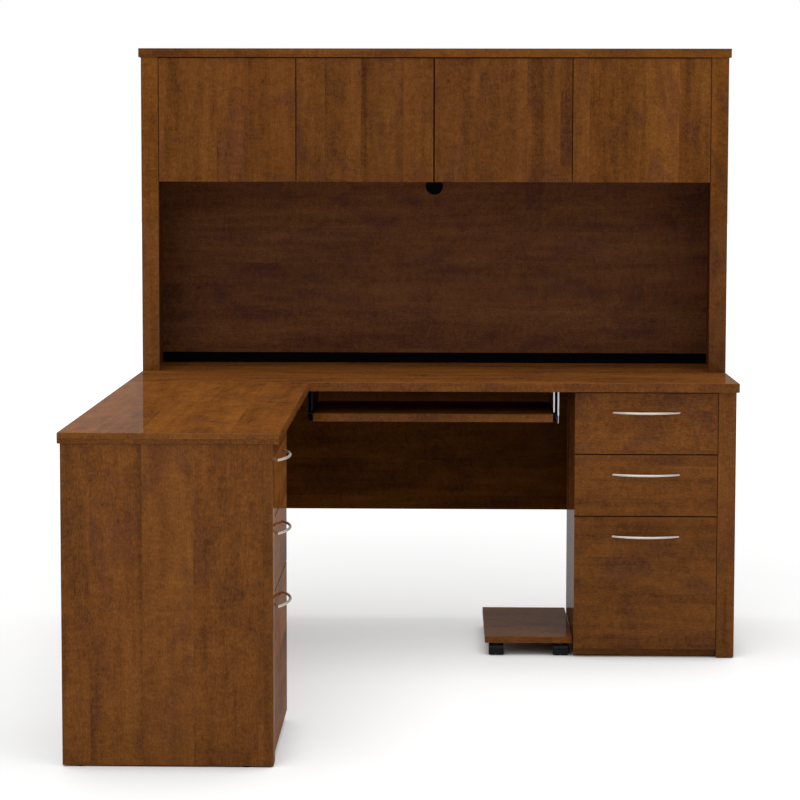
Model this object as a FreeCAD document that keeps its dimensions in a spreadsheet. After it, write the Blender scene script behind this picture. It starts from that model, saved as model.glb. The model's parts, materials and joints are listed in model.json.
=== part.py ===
"""L-shaped corner desk with a hutch, two drawer pedestals, a keyboard shelf and a computer trolley.

Frame: millimetres, +X to the right, +Y to the back, +Z up.  The origin is on the floor, in the
middle of the desk's outline.  The return (the short arm of the L) comes forward on the left.
"""
import FreeCAD, Part
import os
import re

import Sketcher

Vector = FreeCAD.Vector
UP = Vector(0, 0, 1)

# Driving dimensions, in millimetres. Each one becomes a named cell of the sheet.
SIZES = {
    # the two worktops
    "desk_width": 1693.0,        # along the wall, over the main worktop
    "desk_depth": 1763.0,        # from the wall to the front of the return
    "desk_height": 770.0,
    "main_depth": 612.0,
    "return_width": 505.0,
    "top_thick": 25.4,
    "top_round": 2.0,            # rounding of the worktop edges
    "ease": 1.0,                 # easing of all other visible edges
    "lip": 6.0,                  # overhang of a worktop past the panels below it
    # legs: end panels, capped by front posts, on levelling glides
    "post_width": 50.0,
    "post_depth": 22.0,
    "post_round": 7.0,
    "glide_high": 3.0,
    "glide_radius": 12.0,
    "glide_small": 7.0,
    "glide_inset": 40.0,         # glide, in from the end of its panel
    "modesty_bottom": 327.0,
    "modesty_inset": 21.0,       # back face of the modesty panel, in from the worktop's rear edge
    "modesty_overlap": 60.0,     # how far the return's panel runs beside the main end panel
    # pedestals
    "front_width": 395.0,
    "front_thick": 18.0,
    "small_front": 170.0,
    "file_front": 372.0,
    "drawer_gap": 3.0,
    "side_gap": 1.5,             # between a front and the post beside it
    "face_setback": 15.0,        # drawer faces and the posts beside them, in from the worktop's edge
    "bumper_gap": 1.0,           # between a closed front and the cabinet behind it
    "pedestal_depth": 392.0,
    "board": 16.0,               # cabinet boards
    "top_rail": 60.0,
    "plinth": 21.0,
    # drawer boxes and their runners
    "box_board": 12.0,
    "box_bottom": 5.0,
    "box_lift": 22.0,            # bottom of the box above the bottom of its front
    "box_groove": 8.0,           # bottom panel above the lower edge of the sides
    "box_length": 350.0,
    "small_box": 115.0,
    "file_box": 262.0,
    "runner_space": 12.5,
    "runner_fixed": 5.5,
    "runner_moving": 6.5,
    "runner_high": 35.0,
    "runner_lift": 30.0,
    # bow handles
    "handle_span": 176.0,
    "handle_rise": 22.0,
    "handle_round": 3.5,
    "handle_drop": 55.0,
    # hutch
    "hutch_high": 932.5,
    "hutch_setback": 317.0,      # front of the hutch, in from the worktop's front edge
    "hutch_lip": 3.0,            # overhang of the hutch top in front of its posts
    "back_thick": 12.0,
    "strip_high": 31.0,
    "strip_thick": 10.0,
    "shelf_height": 1330.0,
    "door_bottom": 1319.0,
    "door_side_gap": 1.5,
    "door_gap": 2.5,             # between the two doors of a pair
    "centre_gap": 4.0,           # between the two pairs
    "door_top_gap": 2.1,
    "door_setback": 1.0,
    "grommet_height": 1303.0,
    "grommet_bore": 22.0,
    "grommet_flange": 25.5,
    "grommet_rim": 2.5,
    "grommet_wall": 2.0,
    "plug_play": 0.2,
    "slot_wide": 22.0,
    "slot_high": 9.0,
    # concealed door hinges
    "cup_radius": 17.5,
    "cup_deep": 11.5,
    "cup_wall": 1.2,
    "cup_inset": 22.5,           # cup centre, in from the door's hinged edge
    "cup_end": 80.0,             # cup centre, in from the door's top and bottom
    "plate_thick": 3.0,
    "plate_long": 44.0,
    "plate_high": 50.0,
    "plate_setback": 14.0,
    "arm_wide": 12.0,
    "arm_high": 14.0,
    "spacer_long": 60.0,
    # keyboard shelf, hung under the main worktop
    "shelf_wide": 666.0,
    "shelf_deep": 330.0,
    "shelf_thick": 22.0,
    "shelf_bottom": 658.5,
    "shelf_setback": 20.0,
    "slide_wide": 12.0,
    "slide_play": 0.6,
    "hanger_thick": 5.0,
    "hanger_gap": 1.0,           # between the shelf's edge and the inner leg above it
    "hanger_web": 2.0,
    "hanger_bottom": 654.0,
    "hanger_inner_bottom": 685.0,
    "hanger_setback": 32.0,
    "hanger_long": 300.0,
    # computer trolley
    "trolley_left": 147.5,
    "trolley_wide": 243.5,
    "trolley_deep": 412.0,
    "trolley_setback": 30.5,
    "trolley_bottom": 36.0,
    "trolley_board": 18.0,
    "caster_in": 32.0,           # caster axis, in from the side of the trolley
    "caster_along": 24.0,        # caster axis, in from the front or back of the trolley
    "caster_trail": 8.0,
    "wheel_radius": 15.0,
    "wheel_wide": 16.0,
    "wheel_round": 2.5,
    "wheel_bore": 2.8,
    "axle_radius": 2.5,
    "web_wide": 8.0,
    "web_long": 18.0,
    "web_below": 6.0,            # how far the web reaches below the axle
    "wheel_play": 0.8,
    "cap_radius": 19.0,
    "cap_thick": 3.0,
    "cap_play": 0.6,
    "stem_radius": 4.0,
    "stem_bore": 4.3,
    "stem_long": 10.0,
    "stem_hole": 12.0,
    # steel plates that join the two worktops from below
    "plate_wide": 40.0,
    "plate_span": 140.0,
    "plate_gauge": 2.5,
}

# Places worked out from the sizes. Each one is spelled out wherever an expression names it.
PLACES = {
    "right": "desk_width / 2",
    "left": "-desk_width / 2",
    "back": "desk_depth / 2",
    "return_front": "-desk_depth / 2",
    "main_front": "back - main_depth",
    "return_edge": "left + return_width",
    "under_top": "desk_height - top_thick",
    "leg_high": "under_top - glide_high",
    "panel_depth": "main_depth - 2 * lip",
    "modesty_high": "under_top - modesty_bottom",
    "hutch_front": "main_front + hutch_setback",
    "hutch_under": "desk_height + hutch_high - top_thick",
    "hutch_side_high": "hutch_under - desk_height",
    "hutch_inside": "right - top_thick",
    "back_face": "back - back_thick",
    "cabinet_front": "hutch_front + post_depth",
    "cabinet_depth": "back_face - cabinet_front",
    "door_span": "desk_width - 2 * post_width - 2 * door_side_gap",
    "door_wide": "(door_span - 2 * door_gap - centre_gap) / 4",
    "door_high": "hutch_under - door_top_gap - door_bottom",
    "door_back": "hutch_front + door_setback + front_thick",
    "box_wide": "front_width - 2 * (board + runner_space)",
    "box_left": "board + runner_space",
    "carcass_front": "front_thick + bumper_gap",
    "carcass_depth": "pedestal_depth - carcass_front",
    "carcass_inside": "front_width - 2 * board",
    "handle_radius": "((handle_span / 2) ^ 2 + handle_rise ^ 2) / (2 * handle_rise)",
    "trolley_front": "main_front + trolley_setback",
    "wheel_middle": "web_wide / 2 + wheel_play + wheel_wide / 2",
    "cap_bottom": "trolley_bottom - cap_play - cap_thick",
}

doc = FreeCAD.newDocument("corner_desk")
sheet = doc.addObject("Spreadsheet::Sheet", "Dims")
nodes = []


def fill_sheet():
    """Writes every driving dimension into the sheet, as a plain number under its own alias."""
    for row, (name, value) in enumerate(SIZES.items(), start=1):
        sheet.set("A%d" % row, name)
        sheet.set("B%d" % row, str(value))
        sheet.setAlias("B%d" % row, name)
    doc.recompute()


def bound(text):
    """Turns a formula in named sizes and places into an expression on the sheet's cells."""
    def spell(match):
        word = match.group()
        if word in PLACES:
            return "(" + bound(PLACES[word]) + ")"
        return "Dims." + word if word in SIZES else word
    return re.sub(r"[a-z_]+", spell, text)


def bind(item, **formulas):
    """Binds each property of an object to its formula."""
    for name, text in formulas.items():
        item.setExpression(name, bound(text))


def place(item, x="0", y="0", z="0", turn=0.0, axis=UP):
    """Turns an object about an axis through its own origin and binds where that origin is."""
    item.Placement = FreeCAD.Placement(Vector(), FreeCAD.Rotation(axis, turn))
    for name, text in (("x", x), ("y", y), ("z", z)):
        item.setExpression(".Placement.Base." + name, bound(text))
    return item


def node(item, label):
    """Names a sub-part and puts it on the list of pieces to write."""
    item.Label = label
    nodes.append(item)
    return item


def box(name, at, size):
    """A plain board: its lowest corner and its size, each as three formulas."""
    item = doc.addObject("Part::Box", name)
    bind(item, Length=size[0], Width=size[1], Height=size[2])
    return place(item, *at)


def rod(name, radius, high, at, turn=0.0, axis=UP):
    """A round bar that starts at a place and runs along its own +Z."""
    item = doc.addObject("Part::Cylinder", name)
    bind(item, Radius=radius, Height=high)
    return place(item, *at, turn=turn, axis=axis)


def group(name, pieces):
    """Several separate solids that belong to one sub-part."""
    item = doc.addObject("Part::Compound", name)
    item.Links = pieces
    return item


def fused(name, pieces):
    """Several shapes made into one solid."""
    item = doc.addObject("Part::MultiFuse", name)
    item.Shapes = pieces
    return item


def sketch_on(body, role, name):
    """A sketch on one of the body's own origin planes."""
    plane = [item for item in body.Origin.OriginFeatures if item.Role == role][0]
    sketch = body.newObject("Sketcher::SketchObject", name)
    sketch.AttachmentSupport = [(plane, "")]
    sketch.MapMode = "FlatFace"
    return sketch


def draw_rectangle(sketch, wide, high, start=None):
    """A rectangle from the sketch's origin, or from a start distance along its first axis."""
    corners = [Vector(5, 0, 0), Vector(15, 0, 0), Vector(15, 10, 0), Vector(5, 10, 0)]
    for number in range(4):
        sketch.addGeometry(Part.LineSegment(corners[number], corners[(number + 1) % 4]), False)
    for number in range(4):
        sketch.addConstraint(Sketcher.Constraint("Coincident", number, 2, (number + 1) % 4, 1))
    for kind, line in (("Horizontal", 0), ("Vertical", 1), ("Horizontal", 2), ("Vertical", 3)):
        sketch.addConstraint(Sketcher.Constraint(kind, line))
    limits = [("wide", Sketcher.Constraint("DistanceX", 0, 1, 0, 2, 10.0), wide),
              ("high", Sketcher.Constraint("DistanceY", 1, 1, 1, 2, 10.0), high)]
    if start is None:
        sketch.addConstraint(Sketcher.Constraint("Coincident", 0, 1, -1, 1))
    else:
        sketch.addConstraint(Sketcher.Constraint("PointOnObject", 0, 1, -1))
        limits.append(("start", Sketcher.Constraint("DistanceX", -1, 1, 0, 1, 5.0), start))
    for name, constraint, text in limits:
        index = sketch.addConstraint(constraint)
        sketch.renameConstraint(index, name)
        sketch.setExpression("Constraints." + name, bound(text))


def round_edges(body, name, radius, wanted):
    """Rounds the edges of the body's last feature whose middle passes the test."""
    doc.recompute()
    last = body.Tip
    bounds = last.Shape.BoundBox
    names = ["Edge%d" % number for number, edge in enumerate(last.Shape.Edges, start=1)
             if wanted(edge.CenterOfMass, bounds)]
    fillet = body.newObject("PartDesign::Fillet", name)
    fillet.Base = (last, names)
    bind(fillet, Radius=radius)
    return fillet


def every_edge(middle, bounds):
    return True


def front_edges(middle, bounds):
    """The four edges of the front face, which looks along -Y."""
    return middle.y < bounds.YMin + 0.01


def slab(label, size):
    """A body with one padded board on it, from its own origin."""
    body = doc.addObject("PartDesign::Body", label)
    sketch = sketch_on(body, "XY_Plane", label + "_outline")
    draw_rectangle(sketch, size[0], size[1])
    pad = body.newObject("PartDesign::Pad", label + "_pad")
    pad.Profile = sketch
    bind(pad, Length=size[2])
    return body


def bored(body, name, radius, deep, at, turn=0.0, axis=UP):
    """Bores a round hole in a body, from a place along the hole's own +Z."""
    doc.recompute()
    before = body.Shape.Volume
    hole = body.newObject("PartDesign::SubtractiveCylinder", name)
    bind(hole, Radius=radius, Height=deep)
    place(hole, *at, turn=turn, axis=axis)
    doc.recompute()
    if body.Shape.Volume >= before:
        raise RuntimeError(name + " removed nothing")


def eased(name, at, size, radius="ease"):
    """A visible board with all its edges eased."""
    body = slab(name, size)
    round_edges(body, name + "_edges", radius, every_edge)
    return place(body, *at)


def board(label, at, size, radius="ease"):
    """An eased board in a node of its own."""
    return node(eased(label, at, size, radius), label)


def post(label, at, wide, deep, high, outer, turn=0.0):
    """A front post. Its face looks along -Y, and its outer vertical edge is well rounded."""
    body = slab(label, (wide, deep, high))

    def outer_front(middle, bounds):
        beyond = middle.x > bounds.XMax - 0.01 if outer == "right" else middle.x < bounds.XMin + 0.01
        return beyond and middle.y < bounds.YMin + 0.01 and bounds.ZMin + 1 < middle.z < bounds.ZMax - 1

    def inner_front(middle, bounds):
        beyond = middle.x < bounds.XMin + 0.01 if outer == "right" else middle.x > bounds.XMax - 0.01
        return beyond and middle.y < bounds.YMin + 0.01 and bounds.ZMin + 1 < middle.z < bounds.ZMax - 1

    round_edges(body, label + "_outer_edge", "post_round", outer_front)
    round_edges(body, label + "_inner_edge", "ease", inner_front)
    place(body, *at, turn=turn)
    return body


# ---------------------------------------------------------------- worktops, panels and legs

def make_worktops():
    board("main_worktop", ("left", "main_front", "under_top"),
          ("desk_width", "main_depth", "top_thick"), "top_round")
    board("return_worktop", ("left", "return_front", "under_top"),
          ("return_width", "desk_depth - main_depth", "top_thick"), "top_round")
    plates = []
    for number in range(3):
        x = "left + return_width * %d / 4 - plate_wide / 2" % (number + 1)
        plates.append(box("joint_plate_%d" % (number + 1),
                          (x, "main_front - plate_span / 2", "under_top - plate_gauge"),
                          ("plate_wide", "plate_span", "plate_gauge")))
    node(group("joint_plates", plates), "joint_plates")


def make_end_panels():
    posts = [
        post("right_front_post", ("right - lip - post_width", "main_front + face_setback", "glide_high"),
             "post_width", "post_depth", "leg_high", "right"),
        post("return_front_post", ("return_edge - face_setback", "return_front + lip", "glide_high"),
             "post_width", "post_depth", "leg_high", "left", turn=90.0),
    ]
    node(group("front_posts", posts), "front_posts")
    board("right_end_panel",
          ("right - lip - top_thick", "main_front + face_setback + post_depth", "glide_high"),
          ("top_thick", "main_depth - lip - face_setback - post_depth", "leg_high"))
    board("left_end_panel", ("left + lip", "main_front + lip", "glide_high"),
          ("top_thick", "panel_depth", "leg_high"))
    board("return_end_panel", ("left + lip", "return_front + lip", "glide_high"),
          ("return_width - lip - face_setback - post_depth", "top_thick", "leg_high"))


def make_modesty_panels():
    panels = [
        eased("main_modesty_panel",
              ("left + lip + top_thick", "back - modesty_inset - board", "modesty_bottom"),
              ("desk_width - 2 * (lip + top_thick)", "board", "modesty_high")),
        eased("return_modesty_panel",
              ("left + lip + top_thick", "return_front + lip + top_thick", "modesty_bottom"),
              ("board", "desk_depth - main_depth - top_thick + modesty_overlap", "modesty_high")),
    ]
    node(group("modesty_panels", panels), "modesty_panels")


def glide_spots():
    """X, Y and radius of every glide: under the panels, the posts and the pedestal walls."""
    half = "top_thick / 2"
    spots = [("right - lip - " + half, "main_front + face_setback + post_depth + glide_inset",
              "glide_radius"),
             ("right - lip - " + half, "back - lip - glide_inset", "glide_radius"),
             ("left + lip + " + half, "main_front + lip + glide_inset", "glide_radius"),
             ("left + lip + " + half, "back - lip - glide_inset", "glide_radius"),
             ("left + lip + glide_inset", "return_front + lip + " + half, "glide_radius"),
             ("return_edge - face_setback - post_depth - glide_inset", "return_front + lip + " + half,
              "glide_radius"),
             ("right - lip - post_width / 2", "main_front + face_setback + post_depth / 2",
              "glide_small"),
             ("return_edge - face_setback - post_depth / 2", "return_front + lip + post_width / 2",
              "glide_small")]
    main, side = PEDESTALS["right"], PEDESTALS["left"]
    for wall in ("board / 2", "front_width - board / 2"):
        for end in ("carcass_front + glide_inset", "pedestal_depth - glide_inset"):
            spots.append((main["x"] + " + " + wall, main["y"] + " + " + end, "glide_small"))
            spots.append((side["x"] + " - (" + end + ")", side["y"] + " + " + wall, "glide_small"))
    return spots


def make_glides():
    glides = [rod("glide_%d" % number, radius, "glide_high", (x, y, "0"))
              for number, (x, y, radius) in enumerate(glide_spots(), start=1)]
    node(group("levelling_glides", glides), "levelling_glides")


# ---------------------------------------------------------------- pedestals and drawers

# A pedestal is drawn with its drawer faces on Y = 0, looking along -Y, and its left edge at X = 0.
PEDESTALS = {
    "right": {"x": "right - lip - post_width - side_gap - front_width",
              "y": "main_front + face_setback", "turn": 0.0},
    "left": {"x": "return_edge - face_setback",
             "y": "return_front + lip + post_width + side_gap", "turn": 90.0},
}

DRAWERS = (
    # name, top of its front, height of its front, height of its box
    ("top", "under_top - drawer_gap", "small_front", "small_box"),
    ("middle", "under_top - 2 * drawer_gap - small_front", "small_front", "small_box"),
    ("file", "under_top - 3 * drawer_gap - 2 * small_front", "file_front", "file_box"),
)


def seat(item, side):
    """Puts a piece drawn in the pedestal's own frame where that pedestal stands."""
    spot = PEDESTALS[side]
    return place(item, spot["x"], spot["y"], "0", turn=spot["turn"])


def make_carcass(side):
    name = side + "_pedestal_"
    wall = ("board", "carcass_depth", "leg_high")
    inner = "carcass_inside"
    pieces = [
        box(name + "left_wall", ("0", "carcass_front", "glide_high"), wall),
        box(name + "right_wall", ("front_width - board", "carcass_front", "glide_high"), wall),
        box(name + "back", ("board", "pedestal_depth - board", "glide_high"),
            (inner, "board", "leg_high")),
        box(name + "plinth", ("board", "carcass_front", "glide_high"), (inner, "board", "plinth")),
        box(name + "bottom", ("board", "carcass_front", "glide_high + plinth"),
            (inner, "carcass_depth - board", "board")),
        box(name + "top_rail", ("board", "carcass_front", "under_top - board"),
            (inner, "top_rail", "board")),
    ]
    node(seat(group(name + "carcass", pieces), side), name + "carcass")


def runner_pair(name, x_left, thick, y_start, z_bottom):
    """One member of a pair of drawer runners, at both sides of the box."""
    size = (thick, "box_length", "runner_high")
    return [box(name + "_left", (x_left, y_start, z_bottom), size),
            box(name + "_right", ("front_width - (%s) - %s" % (x_left, thick), y_start, z_bottom), size)]


def make_drawer_box(name, side, bottom, high):
    """Four boards and a bottom panel, with the moving runner members on the sides."""
    y_back = "front_thick + box_length - box_board"
    across = "box_wide - 2 * box_board"
    inner_left = "box_left + box_board"
    wall = ("box_board", "box_length", high)
    pieces = [
        box(name + "_left", ("box_left", "front_thick", bottom), wall),
        box(name + "_right", ("box_left + box_wide - box_board", "front_thick", bottom), wall),
        box(name + "_inner_front", (inner_left, "front_thick", bottom), (across, "box_board", high)),
        box(name + "_back", (inner_left, y_back, bottom), (across, "box_board", high)),
        box(name + "_bottom", (inner_left, "front_thick + box_board", bottom + " + box_groove"),
            (across, "box_length - 2 * box_board", "box_bottom")),
    ]
    pieces += runner_pair(name + "_runner", "box_left - runner_moving", "runner_moving",
                          "front_thick", bottom + " + runner_lift")
    node(seat(group(name, pieces), side), name)


def make_handle(name, side, z_middle):
    """A bow handle: the part of a large ring that stands in front of the drawer face."""
    ring = doc.addObject("Part::Torus", name + "_ring")
    bind(ring, Radius1="handle_radius", Radius2="handle_round")
    place(ring, "front_width / 2", "handle_radius - handle_rise", z_middle)
    room = box(name + "_room", ("0", "-2 * handle_rise", z_middle + " - 2 * handle_round"),
               ("front_width", "2 * handle_rise", "4 * handle_round"))
    bow = doc.addObject("Part::Common", name)
    bow.Base = ring
    bow.Tool = room
    node(seat(bow, side), name)


def make_drawer(side, name, top, high, box_high):
    """A drawer: its front, its handle and its box. Returns the place of its runners."""
    stem = "%s_%s_drawer_" % (side, name)
    bottom = "%s - %s" % (top, high)
    front = slab(stem + "front", ("front_width", "front_thick", high))
    round_edges(front, stem + "front_edges", "ease", front_edges)
    # The board itself is drawn on the floor, so the body is lifted to the drawer's height.
    place(front, PEDESTALS[side]["x"], PEDESTALS[side]["y"], bottom, turn=PEDESTALS[side]["turn"])
    node(front, stem + "front")
    make_handle(stem + "handle", side, top + " - handle_drop")
    make_drawer_box(stem + "box", side, bottom + " + box_lift", box_high)
    return bottom + " + box_lift + runner_lift"


def make_pedestals():
    runners = []
    for side in PEDESTALS:
        make_carcass(side)
        members = []
        for name, top, high, box_high in DRAWERS:
            z_bottom = make_drawer(side, name, top, high, box_high)
            members += runner_pair("%s_%s_fixed_runner" % (side, name), "board", "runner_fixed",
                                   "carcass_front", z_bottom)
        runners.append(seat(group(side + "_runners", members), side))
    node(group("drawer_runners", runners), "drawer_runners")


# ---------------------------------------------------------------- hutch

def make_hutch_frame():
    board("hutch_top", ("left - lip", "hutch_front - hutch_lip", "hutch_under"),
          ("desk_width + 2 * lip", "back - hutch_front + hutch_lip", "top_thick"))
    sides = [eased("hutch_side_" + side, (x, "cabinet_front", "desk_height"),
                   ("top_thick", "back - cabinet_front", "hutch_side_high"))
             for side, x in (("left", "left"), ("right", "right - top_thick"))]
    node(group("hutch_sides", sides), "hutch_sides")
    posts = [post("hutch_post_" + side, (x, "hutch_front", "desk_height"),
                  "post_width", "post_depth", "hutch_side_high", side)
             for side, x in (("left", "left"), ("right", "right - post_width"))]
    node(group("hutch_posts", posts), "hutch_posts")
    board("hutch_shelf", ("-hutch_inside", "cabinet_front", "shelf_height"),
          ("2 * hutch_inside", "cabinet_depth", "board"))
    board("hutch_partition", ("-board / 2", "cabinet_front", "shelf_height + board"),
          ("board", "cabinet_depth", "hutch_under - shelf_height - board"))
    board("cable_strip", ("-hutch_inside", "back_face", "desk_height"),
          ("2 * hutch_inside", "strip_thick", "strip_high"))


def make_hutch_back():
    """The back panel, with a round cable hole just under the cabinets."""
    bottom = "desk_height + strip_high"
    panel = slab("hutch_back_panel", ("2 * hutch_inside", "back_thick", "hutch_under - (%s)" % bottom))
    bored(panel, "cable_hole", "grommet_bore", "3 * back_thick",
          ("hutch_inside", "-back_thick", "grommet_height - (%s)" % bottom),
          turn=-90.0, axis=Vector(1, 0, 0))
    place(panel, "-hutch_inside", "back_face", bottom)
    node(panel, "hutch_back_panel")


def make_grommet():
    """A flanged plug for the cable hole, closed except for a slot that a cable fits through."""
    rim = rod("grommet_rim", "grommet_flange", "grommet_rim",
              ("0", "back_face - grommet_rim", "grommet_height"), turn=-90.0, axis=Vector(1, 0, 0))
    plug = rod("grommet_plug", "grommet_bore - plug_play", "back_thick",
               ("0", "back_face", "grommet_height"), turn=-90.0, axis=Vector(1, 0, 0))
    hollow = rod("grommet_hollow", "grommet_bore - plug_play - grommet_wall", "back_thick",
                 ("0", "back_face + grommet_wall", "grommet_height"), turn=-90.0, axis=Vector(1, 0, 0))
    slot = box("grommet_slot",
               ("-slot_wide / 2", "back_face - 2 * grommet_rim", "grommet_height - slot_high"),
               ("slot_wide", "back_thick", "slot_high"))
    cut = doc.addObject("Part::Cut", "cable_grommet")
    cut.Base = fused("grommet_solid", [rim, plug])
    cut.Tool = fused("grommet_openings", [hollow, slot])
    node(cut, "cable_grommet")


def cup_heights():
    return ("door_bottom + cup_end", "door_bottom + door_high - cup_end")


def make_door(number, x_left, hinged):
    """A plain door with its two hinge cups; hinged says which of its edges it turns about."""
    name = "door_%d" % number
    door = slab(name, ("door_wide", "front_thick", "door_high"))
    round_edges(door, name + "_edges", "ease", front_edges)
    x_cup = "cup_inset" if hinged == "left" else "door_wide - cup_inset"
    for level, z in enumerate(cup_heights(), start=1):
        bored(door, "%s_cup_hole_%d" % (name, level), "cup_radius", "cup_deep",
              (x_cup, "front_thick", z + " - door_bottom"), turn=90.0, axis=Vector(1, 0, 0))
    place(door, x_left, "hutch_front + door_setback", "door_bottom")
    node(door, name)
    cups = []
    for level, z in enumerate(cup_heights(), start=1):
        stem = "%s_cup_%d" % (name, level)
        x = "%s + %s" % (x_left, x_cup)
        shell = rod(stem + "_shell", "cup_radius", "cup_deep",
                    (x, "door_back", z), turn=90.0, axis=Vector(1, 0, 0))
        well = rod(stem + "_well", "cup_radius - cup_wall", "cup_deep - cup_wall",
                   (x, "door_back", z), turn=90.0, axis=Vector(1, 0, 0))
        cup = doc.addObject("Part::Cut", stem)
        cup.Base = shell
        cup.Tool = well
        cups.append(cup)
    node(group(name + "_hinge_cups", cups), name + "_hinge_cups")


def stand_off(wall, outward, offset, thick):
    """Left edge of a piece that stands off a cabinet wall; outward is the side it stands on."""
    if outward == "right":
        return "%s + %s" % (wall, offset)
    return "%s - (%s) - (%s)" % (wall, offset, thick)


def hinge_fittings(stem, wall, outward, spacer):
    """The fixed halves of a door's two hinges: a plate on the cabinet wall and an arm on it."""
    layers = [("plate", spacer, "plate_thick", "plate_setback", "plate_long", "plate_high"),
              ("arm", spacer + " + plate_thick", "arm_wide", "0", "plate_long", "arm_high")]
    if spacer != "0":
        layers.append(("spacer", "0", spacer, "0", "spacer_long", "spacer_long"))
    return [box("%s_%s_%d" % (stem, name, level),
                (stand_off(wall, outward, offset, thick), "cabinet_front + " + setback,
                 "%s - %s / 2" % (z, high)),
                (thick, long, high))
            for level, z in enumerate(cup_heights(), start=1)
            for name, offset, thick, setback, long, high in layers]


def make_doors():
    """Two pairs of doors. The outer two turn about the hutch sides, the inner two at the middle."""
    start = "-door_span / 2"
    step = " + door_wide + door_gap"
    half_gap = "centre_gap / 2"
    reach = "post_width + door_side_gap - top_thick - plate_thick"
    doors = ((start, "left", "-hutch_inside", reach),
             (start + step, "right", "-board / 2", "0"),
             (half_gap, "left", "board / 2", "0"),
             (half_gap + step, "right", "hutch_inside", reach))
    fittings = []
    for number, (x_left, hinged, wall, spacer) in enumerate(doors, start=1):
        make_door(number, x_left, hinged)
        outward = "right" if hinged == "left" else "left"
        fittings += hinge_fittings("hinge_%d" % number, wall, outward, spacer)
    node(group("hinge_fittings", fittings), "hinge_fittings")


# ---------------------------------------------------------------- keyboard shelf

def make_keyboard_shelf():
    """A shelf on two slides, which run in steel hangers screwed to the underside of the worktop."""
    board("keyboard_shelf", ("-shelf_wide / 2", "main_front + shelf_setback", "shelf_bottom"),
          ("shelf_wide", "shelf_deep", "shelf_thick"))
    y_hanger = "main_front + hanger_setback"
    web_bottom = "under_top - hanger_web"
    reach = "slide_wide + slide_play + hanger_thick - hanger_gap"
    members = (("outer", "slide_wide + slide_play", "hanger_thick", "hanger_bottom",
                web_bottom + " - hanger_bottom"),
               ("inner", "hanger_gap", "hanger_thick", "hanger_inner_bottom",
                web_bottom + " - hanger_inner_bottom"),
               ("web", "hanger_gap", reach, web_bottom, "hanger_web"))
    slides = []
    hangers = []
    for outward, edge in (("left", "-shelf_wide / 2"), ("right", "shelf_wide / 2")):
        x_slide = stand_off(edge, outward, "0", "slide_wide")
        slides.append(box("keyboard_slide_" + outward, (x_slide, y_hanger, "shelf_bottom"),
                          ("slide_wide", "hanger_long", "shelf_thick")))
        hangers += [box("hanger_%s_%s" % (name, outward),
                        (stand_off(edge, outward, offset, thick), y_hanger, z),
                        (thick, "hanger_long", high))
                    for name, offset, thick, z, high in members]
    node(group("keyboard_slides", slides), "keyboard_slides")
    node(group("keyboard_hangers", hangers), "keyboard_hangers")


# ---------------------------------------------------------------- computer trolley

def caster_spots():
    """Name, X and Y of each caster's swivel axis."""
    columns = (("left", "trolley_left + caster_in"),
               ("right", "trolley_left + trolley_wide - caster_in"))
    rows = (("front", "trolley_front + caster_along"),
            ("rear", "trolley_front + trolley_deep - caster_along"))
    return [("%s_%s" % (row, column), x, y) for row, y in rows for column, x in columns]


def make_trolley():
    base = slab("trolley_base", ("trolley_wide", "trolley_deep", "trolley_board"))
    for name, x, y in caster_spots():
        bored(base, "stem_hole_" + name, "stem_bore", "stem_hole",
              (x + " - trolley_left", y + " - (trolley_front)", "0"))
    round_edges(base, "trolley_base_edges", "ease", front_edges)
    place(base, "trolley_left", "trolley_front", "trolley_bottom")
    node(base, "trolley_base")


def make_caster(name, x, y):
    """A twin-wheel caster: a web under a round cap, with the axle and the swivel stem."""
    y_wheel = "%s - caster_trail" % y
    along_x = {"turn": 90.0, "axis": Vector(0, 1, 0)}
    stem = "caster_%s_" % name
    pieces = [
        rod(stem + "cap", "cap_radius", "cap_thick", (x, y, "cap_bottom")),
        rod(stem + "stem", "stem_radius", "cap_thick + cap_play + stem_long", (x, y, "cap_bottom")),
        box(stem + "web", (x + " - web_wide / 2", y_wheel + " - web_long / 2", "wheel_radius - web_below"),
            ("web_wide", "web_long + caster_trail", "cap_bottom - wheel_radius + web_below")),
        rod(stem + "axle", "axle_radius", "2 * (wheel_middle + wheel_wide / 2)",
            (x + " - wheel_middle - wheel_wide / 2", y_wheel, "wheel_radius"), **along_x),
    ]
    node(fused(stem + "fork", pieces), stem + "fork")
    wheels = []
    for side, sign in (("left", "-"), ("right", "+")):
        wheel = doc.addObject("PartDesign::Body", stem + "wheel_" + side)
        profile = sketch_on(wheel, "XZ_Plane", stem + "profile_" + side)
        draw_rectangle(profile, "wheel_radius - wheel_bore", "wheel_wide", start="wheel_bore")
        turned = wheel.newObject("PartDesign::Revolution", stem + "turned_" + side)
        turned.Profile = profile
        turned.ReferenceAxis = (profile, ["V_Axis"])
        turned.Angle = 360.0
        doc.recompute()
        outer = [number for number, edge in enumerate(turned.Shape.Edges, start=1)
                 if edge.BoundBox.XMax > SIZES["wheel_radius"] - 0.1
                 and edge.BoundBox.ZLength < 0.1]
        fillet = wheel.newObject("PartDesign::Fillet", stem + "tread_" + side)
        fillet.Base = (turned, ["Edge%d" % number for number in outer])
        bind(fillet, Radius="wheel_round")
        place(wheel, "%s %s wheel_middle - wheel_wide / 2" % (x, sign), y_wheel, "wheel_radius",
              **along_x)
        wheels.append(wheel)
    node(group(stem + "wheels", wheels), stem + "wheels")


# ---------------------------------------------------------------- checks and files

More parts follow.
